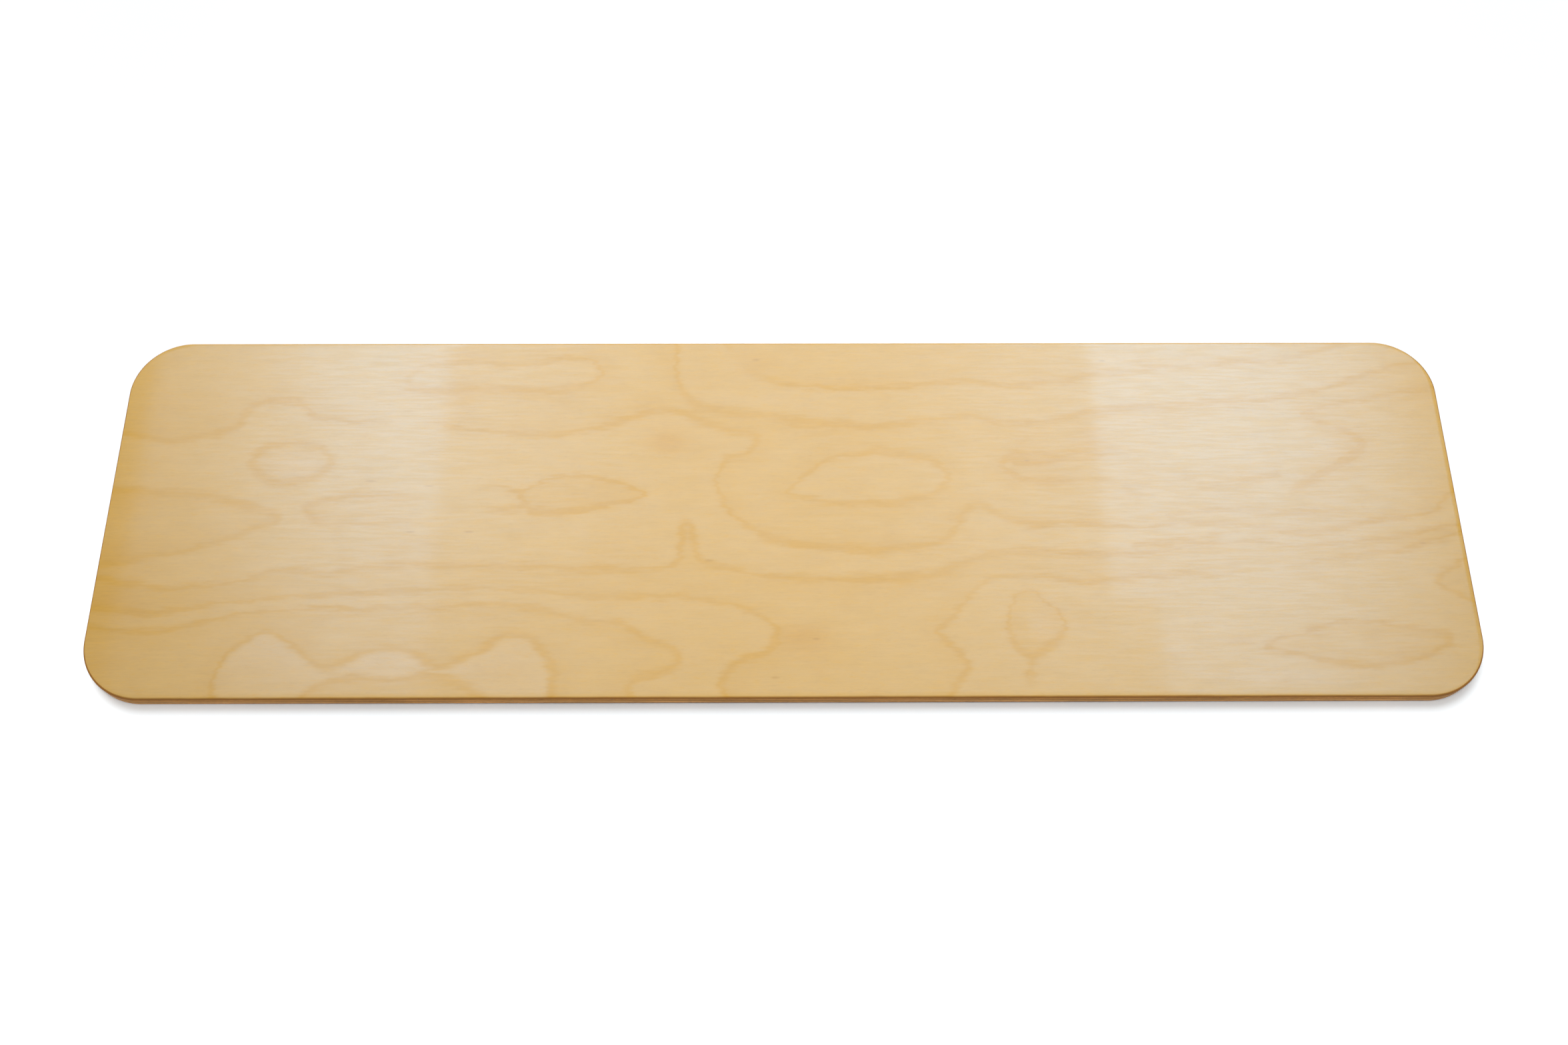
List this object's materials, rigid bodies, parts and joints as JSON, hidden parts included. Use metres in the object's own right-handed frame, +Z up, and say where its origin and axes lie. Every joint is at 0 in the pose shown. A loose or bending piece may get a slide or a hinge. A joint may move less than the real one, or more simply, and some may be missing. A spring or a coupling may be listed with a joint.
{
  "type": "transfer board",
  "caption": "Straight flat transfer board of lacquered birch plywood with rounded corners and eased edges, bridging two seats so that a person can slide across.",
  "frame": {"origin": "centre of the board's underside, on the surface that it lies on", "axes": "+X along the board's length and its face grain, +Y across its width, +Z up out of the sliding face"},
  "size_m": [0.7112, 0.2032, 0.009],
  "materials": {
    "face_veneer": "rotary-cut birch, grain along the board, clear satin lacquer",
    "back_veneer": "rotary-cut birch, grain along the board, clear satin lacquer",
    "core_veneer": "birch edge with its grain along the board, sanded and lacquered",
    "crossband": "birch end grain on the long edges, dark where it soaks up lacquer",
    "glue_line": "dark resin glue line between veneers"
  },
  "bodies": {
    "root": {"face_veneer": "face_veneer", "upper_crossband_sheet_1": "crossband", "upper_crossband_sheet_2": "crossband", "upper_crossband_sheet_3": "crossband", "upper_crossband_sheet_4": "crossband", "upper_core_veneer": "core_veneer", "centre_crossband_sheet_1": "crossband", "centre_crossband_sheet_2": "crossband", "centre_crossband_sheet_3": "crossband", "centre_crossband_sheet_4": "crossband", "centre_crossband_sheet_5": "crossband", "lower_core_veneer": "core_veneer", "lower_crossband": "crossband", "back_veneer": "back_veneer"}
  },
  "joints": []
}
